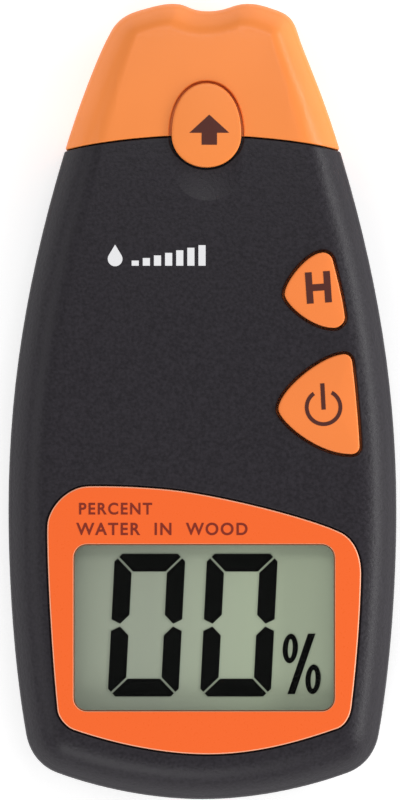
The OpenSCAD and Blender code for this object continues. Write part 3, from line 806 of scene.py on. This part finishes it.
def front_case():
    shell = trimmed(skin("front_case_shell", 0, PARTING, lip=PARTING_LIP), SEAM_Y, -1, LIP)
    inner = trimmed(skin("inner", WALL, PARTING - 2), SEAM_Y - WALL, -1)
    window = shifted(round_rect(WINDOW_W + 0.6, WINDOW_H + 0.6, 2.7), WINDOW_X, WINDOW_Y)
    cut(
        shell,
        inner,
        thumb_hollow(),
        well("bezel_well", loop(BEZEL, 0.22), BEZEL_FLOOR - 0.05, lip=0.25),
        prism("view", window, 20, 30),
        well("hold_well", loop(HOLD_KEY, KEY_GAP), 20),
        well("power_well", loop(POWER_KEY, KEY_GAP), 20),
        well("egg_well", egg_outline(KEY_GAP), depth=WELL_DEPTH),
    )
    posts = [disc("post", x, y, BOSS_R, PARTING, 24.5) for x, y in CASE_SCREWS]
    posts += [disc("post", x, y, 2.2, 21.8, 25.5) for x, y in BOARD_SCREWS]
    front_neck = neck("neck", PARTING, None)
    slot = block("slot", (-3.5, 0.7, -4.7), (3.5, 30, 10))
    slot.data.transform(over_button())
    cut(front_neck, slot)
    grouped(shell, front_neck, *posts)
    return finished(shell, "meter", case_plastic, "case_plastic", "front_case")


def rear_case():
    high = PARTING - 0.05
    shell = trimmed(skin("rear_case_shell", 0, None, high, PARTING_LIP), SEAM_Y, -1, LIP)
    inner = trimmed(skin("inner", WALL, None, PARTING + 2), SEAM_Y - WALL, -1)
    cut(shell, inner)
    wall = 1.2
    side, rail = BAY_X + wall, RAIL_X + wall
    low, top = BAY_LOW - wall, BAY_HIGH + wall
    posts = [disc("post", x, y, 3.9, 1.2, high) for x, y in CASE_SCREWS]
    fused(
        shell,
        block("bay", (-side, low, 1), (side, top, BAY_TOP + 1)),
        block("rails", (-rail, low, 1), (rail, top, 4.4)),
        *posts,
    )
    label = shifted(round_rect(34.3, 20.3, 1.65), 0, LABEL_Y)
    wells = [disc("head", x, y, 2.75, -1, HEAD_SEAT) for x, y in CASE_SCREWS]
    wells += [disc("shank", x, y, 1.6, 1, 20) for x, y in CASE_SCREWS]
    cut(
        shell,
        block("inside", (-BAY_X, BAY_LOW, -1), (BAY_X, BAY_HIGH, BAY_TOP)),
        block("track", (-RAIL_X, BAY_LOW - 20, WALL), (RAIL_X, BAY_HIGH, 3.2)),
        block("opening", (-DOOR_X - 0.2, -90, -1), (DOOR_X + 0.2, DOOR_TOP + 0.2, 3.1)),
        block("foot", (-DOOR_FOOT_X - 0.2, -90, -1), (DOOR_FOOT_X + 0.2, BAY_LOW - 0.7, 7.7)),
        block("notch", (-9, BAY_HIGH - 1, 7.6), (9, BAY_HIGH + 2, 14)),
        prism("label", label, -1, 0.3),
        *wells,
    )
    grouped(shell, neck("neck", None, high))
    return finished(shell, "meter", case_plastic, "case_plastic", "rear_case")


def battery_door():
    foot = skin("battery_door_cover", 0, None, PARTING)
    cut(foot, skin("inner", 1.8, None, PARTING + 1))
    keep = block("keep", (-DOOR_FOOT_X, -90, 0.15), (DOOR_FOOT_X, BAY_LOW - 0.9, DOOR_FOOT_Z))
    combined(foot, [keep], "INTERSECT")
    fused(foot, block("plate", (-DOOR_X, BAY_LOW - 2.5, 0.15), (DOOR_X, DOOR_TOP, 1.75)))
    ridges = []
    for k in range(6):
        shape = round_rect(16 + 1.5 * k, 1.1, 0.54, 4)
        ridges.append(prism("ridge", shifted(shape, 0, -56 + 2.2 * k), -1, 0.55))
    cut(foot, *ridges)
    rails = []
    for s in (-1, 1):
        a, b = sorted((s * (BAY_X - 0.3), s * (RAIL_X - 0.3)))
        rails.append(block("rail", (a, BAY_LOW + 4, 2.1), (b, BAY_HIGH - 1.5, 2.85)))
        a, b = sorted((s * (BAY_X - 0.3), s * (DOOR_X - 0.9)))
        rails.append(block("web", (a, BAY_LOW + 0.6, 1.7), (b, BAY_HIGH - 1.5, 2.85)))
    grouped(foot, *rails)
    return finished(foot, "door", case_plastic, "case_plastic", "battery_door")


# ---- Cap ------------------------------------------------------------------------------------
def pin_cap():
    shell = trimmed(skin("pin_cap_shell"), SEAM_Y + SEAM_GAP, 1, LIP)
    hole = disc("hole", 0, STEM_Y, 2.15, -4, 0)
    seat = disc("seat", 0, STEM_Y, 3.7, -1.8, 0)
    for part in (hole, seat):
        part.data.transform(over_button())
    egg = well("egg_well", egg_outline(KEY_GAP), depth=WELL_DEPTH)
    cut(shell, skin("inner", CAP_WALL), egg, seat, hole)
    return finished(shell, "cap", cap_plastic, "cap_plastic", "pin_cap")


def crowned(name, outline, base, top, lip, crown):
    """A key: upright sides, a round edge and a slightly domed top."""
    rings = [[(*p, base) for p in outline]]
    for angle in (0, 18, 36, 54, 72, 90):
        turn = math.radians(angle)
        inner = grown(outline, -lip * (1 - math.cos(turn)))
        rings.append([(*p, top - lip * (1 - math.sin(turn))) for p in inner])
    middle = sum(inner, Vector((0, 0))) / len(inner)
    for share in (0.94, 0.86, 0.74, 0.6, 0.44, 0.28, 0.12):
        z = top + crown * (1 - share * share)
        rings.append([(*(middle + (p - middle) * share), z) for p in inner])
    return lofted(name, rings)


def release_button():
    plate = crowned("cap_release_button_top", loop(EGG), -0.3, 0.55, 0.3, 0.15)
    stem = disc("stem", 0, STEM_Y, 2.0, -2.7, 0)
    collar = disc("collar", 0, STEM_Y, 2.9, -3.3, -2.5, 0.2)
    grouped(plate, stem, collar)
    plate.data.transform(over_button())
    tree = surface_of(plate)
    finished(plate, "cap_button", cap_plastic, "cap_plastic", "cap_release_button")
    return tree


# ---- Keys and bezel -------------------------------------------------------------------------
def key(name, knots, top, stem, body, node):
    obj = crowned(name, loop(knots), FLANGE_TOP - 0.3, top - 0.2, 0.32, 0.2)
    flange = prism("flange", loop(knots, 1.3), FLANGE_TOP - 0.8, FLANGE_TOP)
    foot = disc("foot", *stem, 1.6, SWITCH_TOP + 0.75, FLANGE_TOP - 0.5)
    grouped(obj, flange, foot)
    tree = surface_of(obj)
    finished(obj, body, key_plastic, "key_plastic", node)
    return tree


def around(outline, centre, count):
    """Points of a closed outline at equal turns about a centre inside it."""
    polar = sorted(
        (math.atan2(p.y - centre.y, p.x - centre.x), (p - centre).length) for p in outline
    )
    first, last = polar[0], polar[-1]
    polar = [(last[0] - 2 * math.pi, last[1])] + polar + [(first[0] + 2 * math.pi, first[1])]
    points = []
    k = 0
    for i in range(count):
        want = -math.pi + 2 * math.pi * i / count
        while polar[k + 1][0] < want:
            k += 1
        (a, ra), (b, rb) = polar[k], polar[k + 1]
        share = (want - a) / max(b - a, 1e-9)
        p, q = (centre + Vector((math.cos(t), math.sin(t))) * r for t, r in ((a, ra), (b, rb)))
        points.append(p.lerp(q, share))
    return points


def display_bezel():
    centre = Vector((WINDOW_X, WINDOW_Y))
    outer = around(loop(BEZEL, steps=40), centre, 360)
    window = shifted(round_rect(WINDOW_W, WINDOW_H, 2.4, 16), *centre)
    inner = around(window, centre, 360)
    rings = [[(*p, BEZEL_FLOOR) for p in outer]]
    lip = 0.35
    for angle in (0, 22, 45, 68, 90):
        turn = math.radians(angle)
        ring = grown(outer, -lip * (1 - math.cos(turn)))
        rings.append([(*p, BEZEL_TOP - lip * (1 - math.sin(turn))) for p in ring])
    lip = 0.1
    for angle in (90, 60, 30, 0):
        turn = math.radians(angle)
        ring = grown(inner, lip * (1 - math.cos(turn)))
        rings.append([(*p, BEZEL_TOP - lip * (1 - math.sin(turn))) for p in ring])
    rings.append([(*p, LENS_TOP) for p in grown(inner, -0.25)])
    count = len(inner)
    points = [p for ring in rings for p in ring]
    faces = []
    for r in range(len(rings)):
        s = (r + 1) % len(rings)
        for i in range(count):
            j = (i + 1) % count
            faces.append((r * count + i, r * count + j, s * count + j, s * count + i))
    obj = solid("display_bezel_frame", points, faces)
    tree = surface_of(obj)
    finished(obj, "meter", bezel_plastic, "bezel_plastic", "display_bezel")
    return tree


# ---- Printed marks --------------------------------------------------------------------------
def steps_between(low, high, step):
    return [low + step * i for i in range(1, math.ceil((high - low) / step))]


def printed(name, shapes, surface, body, material, slot):
    """Thin ink shapes draped on a surface, each a list of points round one flat shape."""
    bm = bmesh.new()
    for shape in shapes:
        bm.faces.new([bm.verts.new((*p, 0)) for p in shape])
    bm.normal_update()
    bmesh.ops.triangulate(bm, faces=bm.faces[:])
    xs = [v.co.x for v in bm.verts]
    ys = [v.co.y for v in bm.verts]
    cuts = [((x, 0, 0), (1, 0, 0)) for x in steps_between(min(xs), max(xs), INK_STEP)]
    cuts += [((0, y, 0), (0, 1, 0)) for y in steps_between(min(ys), max(ys), INK_STEP)]
    for place, way in cuts:
        geometry = bm.verts[:] + bm.edges[:] + bm.faces[:]
        bmesh.ops.bisect_plane(bm, geom=geometry, dist=1e-5, plane_co=place, plane_no=way)
    base = bm.verts[:]
    for v in base:
        v.co.z = height_on(surface, v.co.x, v.co.y) + INK_GAP
    top = bmesh.ops.extrude_face_region(bm, geom=bm.faces[:])["geom"]
    for v in top:
        if isinstance(v, bmesh.types.BMVert):
            v.co.z += INK_RISE
    bmesh.ops.recalc_face_normals(bm, faces=bm.faces)
    mesh = bpy.data.meshes.new(name)
    bm.to_mesh(mesh)
    bm.free()
    obj = bpy.data.objects.new(name, mesh)
    bpy.context.scene.collection.objects.link(obj)
    return finished(obj, body, material, slot)


def bar(x0, y0, x1, y1):
    return [Vector((x0, y0)), Vector((x1, y0)), Vector((x1, y1)), Vector((x0, y1))]


def turned(shapes, degrees, x, y):
    turn = Matrix.Rotation(math.radians(degrees), 2)
    return [[turn @ p + Vector((x, y)) for p in shape] for shape in shapes]


def ring_arc(r, width, start, end):
    """An open band round a circle, as one flat shape."""
    turns = [start + (end - start) * i / RING_STEPS for i in range(RING_STEPS + 1)]
    outer = [heading(a) * (r + width / 2) for a in turns]
    inner = [heading(a) * (r - width / 2) for a in reversed(turns)]
    return outer + inner


def caption(words, x, y, height, width):
    """A line of plain lettering as flat shapes, fitted into a box."""
    curve = bpy.data.curves.new("caption", "FONT")
    curve.body = words
    curve.offset = 0.022
    curve.space_character = 1.2
    holder = bpy.data.objects.new("caption", curve)
    bpy.context.scene.collection.objects.link(holder)
    depsgraph = bpy.context.evaluated_depsgraph_get()
    mesh = bpy.data.meshes.new_from_object(holder.evaluated_get(depsgraph))
    xs = [v.co.x for v in mesh.vertices]
    ys = [v.co.y for v in mesh.vertices]
    wide = width / (max(xs) - min(xs))
    tall = height / (max(ys) - min(ys))
    shapes = []
    for face in mesh.polygons:
        corners = [mesh.vertices[i].co for i in face.vertices]
        shapes.append(
            [Vector((x + (c.x - min(xs)) * wide, y + (c.y - min(ys)) * tall)) for c in corners]
        )
    bpy.data.objects.remove(holder)
    return shapes


def drop_shape(x, y, height):
    """A water drop, point up."""
    r = height * 0.34
    low = [heading(-215 + 250 * i / 20) * r for i in range(21)]
    points = [p + Vector((x, y + r)) for p in low]
    return points + [Vector((x, y + height))]


def marks(button_tree, hold_tree, power_tree, bezel_tree):
    letter = [bar(-2.2, -2.75, -1.0, 2.75), bar(1.0, -2.75, 2.2, 2.75), bar(-1.0, -0.6, 1.0, 0.6)]
    printed(
        "hold_key_mark", turned(letter, 4, 20.3, 19.9), hold_tree, "hold_key_body",
        legend_brown, "key_plastic",
    )
    power = [ring_arc(2.95, 0.68, 122, 418), bar(-0.38, -0.4, 0.38, 4.2)]
    printed(
        "power_key_mark", turned(power, 3, 21.2, -1.1), power_tree, "power_key_body",
        legend_brown, "key_plastic",
    )
    arrow = [
        [Vector(p) for p in ((0, 2.7), (-3.5, -0.5), (-1.35, -0.5), (1.35, -0.5), (3.5, -0.5))],
        bar(-1.35, -2.6, 1.35, -0.5),
    ]
    printed(
        "button_arrow_mark", turned(arrow, 0, BUTTON_X + 0.5, 47.5), button_tree, "cap_button",
        legend_brown, "cap_plastic",
    )
    scale = [drop_shape(-15.3, 23.6, 3.8)]
    for k in range(7):
        x = -12.4 + 1.95 * k
        scale.append(bar(x, 23.7, x + 1.25, 24.6 + 0.45 * k))
    printed("front_scale_mark", scale, SKIN, "meter", legend_white, "case_plastic")
    lines = caption("PERCENT", -21.6, -19.9, 2.1, 12.8)
    lines += caption("WATER  IN  WOOD", -22.1, -23.5, 2.2, 30)
    printed("bezel_caption", lines, bezel_tree, "meter", legend_red, "bezel_plastic")


# ---- CAD nodes that stay --------------------------------------------------------------------
KEPT = {
    "door_foam_pad": foam,
    "rear_label": label_film,
    "case_screws": zinc_steel,
    "release_button_spring": steel,
    "pin_block": ivory_plastic,
    "pin_socket_left": brass,
    "pin_socket_right": brass,
    "measuring_pin_left": steel,
    "measuring_pin_right": steel,
    "pin_lead_left": wire_blue,
    "pin_lead_right": wire_blue,
    "display_window": clear_window,
    "lcd_front_glass": display_glass,
    "lcd_rear_glass": display_back,
    "lcd_reflector": reflector,
    "lcd_digits": display_ink,
    "lcd_percent_sign": display_ink,
    "lcd_frame": white_plastic,
    "zebra_strip": strip_rubber,
    "hold_switch": black_plastic,
    "hold_switch_plunger": red_plastic,
    "power_switch": black_plastic,
    "power_switch_plunger": red_plastic,
    "main_board": board,
    "board_screws": zinc_steel,
    "controller_blob": chip_plastic,
    "amplifier_chip": chip_plastic,
    "chip_resistors": chip_plastic,
    "chip_capacitors": ceramic,
    "electrolytic_capacitor": can_sleeve,
    "crystal_can": steel,
    "battery_case": battery_jacket,
    "battery_terminal_positive": tin_plate,
    "battery_terminal_negative": tin_plate,
    "battery_clip": black_plastic,
    "battery_clip_contacts": tin_plate,
    "battery_lead_red": wire_red,
    "battery_lead_black": wire_black,
}
SOFTENED = {
    "pin_block": 0.3,
    "measuring_pin_left": 0.12,
    "measuring_pin_right": 0.12,
    "case_screws": 0.12,
    "battery_terminal_negative": 0.2,
    "battery_clip": 0.3,
}


def dress_nodes():
    for name, material in KEPT.items():
        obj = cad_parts[name]
        obj.data.materials.clear()
        obj.data.materials.append(material)
        if name in SOFTENED:
            weld = obj.modifiers.new("weld", "WELD")
            weld.merge_threshold = 0.002 * MM
            edge = obj.modifiers.new("edge", "BEVEL")
            edge.width = SOFTENED[name] * MM
            edge.segments = 3
            edge.limit_method = "ANGLE"
            edge.angle_limit = math.radians(40)


# ---- Stage ----------------------------------------------------------------------------------
def area_light(name, place, aim, size, power):
    lamp = bpy.data.lights.new(name, "AREA")
    lamp.shape = "RECTANGLE"
    lamp.size, lamp.size_y = size
    lamp.energy = power
    obj = bpy.data.objects.new(name, lamp)
    bpy.context.scene.collection.objects.link(obj)
    obj.location = place
    obj.rotation_mode = "QUATERNION"
    obj.rotation_quaternion = (Vector(aim) - Vector(place)).to_track_quat("-Z", "Y")


def stage():
    scene = bpy.context.scene
    scene.view_settings.view_transform = "Standard"
    mesh = bpy.data.meshes.new("floor")
    s = FLOOR_REACH
    mesh.from_pydata([(-s, -s, 0), (s, -s, 0), (s, s, 0), (-s, s, 0)], [], [(0, 1, 2, 3)])
    floor = bpy.data.objects.new("floor", mesh)
    scene.collection.objects.link(floor)
    paper = moulded("floor_paper", (0.9, 0.9, 0.9), 0.9, grain=0.02, specular=0.1, soft=0.01)
    glow = paper.node_tree.nodes["Principled BSDF"]
    glow.inputs["Emission Color"].default_value = (1, 1, 1, 1)
    glow.inputs["Emission Strength"].default_value = 0.4
    floor.data.materials.append(paper)
    world = bpy.data.worlds.new("soft_room")
    world.use_nodes = True
    world.node_tree.nodes["Background"].inputs["Color"].default_value = (1, 1, 1, 1)
    world.node_tree.nodes["Background"].inputs["Strength"].default_value = 0.4
    scene.world = world
    area_light("right_softbox", (0.55, 0.05, 0.18), (0, 0, 0.01), (0.7, 0.12), 2.8)
    area_light("foot_softbox", (-0.15, -0.6, 0.42), (0, 0, 0.02), (0.5, 0.3), 2.0)
    area_light("pin_end_softbox", (0.05, 0.5, 0.8), (0, 0, 0.02), (0.3, 0.25), 1.4)
    area_light("left_softbox", (-0.6, 0.05, 0.4), (0, 0, 0.02), (0.6, 0.3), 0.9)


def camera():
    data = bpy.data.cameras.new("camera")
    data.lens = 600
    data.sensor_width = 36
    data.clip_end = 50
    obj = bpy.data.objects.new("camera", data)
    bpy.context.scene.collection.objects.link(obj)
    frame_height = 140.7 * MM
    distance = data.lens / data.sensor_width * frame_height
    obj.location = (-0.43 * MM, 0.18 * MM, 0.018 + distance)
    bpy.context.scene.camera = obj


camera()
stage()
dress_nodes()
front_case()
rear_case()
battery_door()
pin_cap()
button_tree = release_button()
bezel_tree = display_bezel()
hold_tree = key("hold_key_top", HOLD_KEY, HOLD_TOP, HOLD_STEM, "hold_key_body", "hold_key")
power_tree = key("power_key_top", POWER_KEY, POWER_TOP, POWER_STEM, "power_key_body", "power_key")
marks(button_tree, hold_tree, power_tree, bezel_tree)
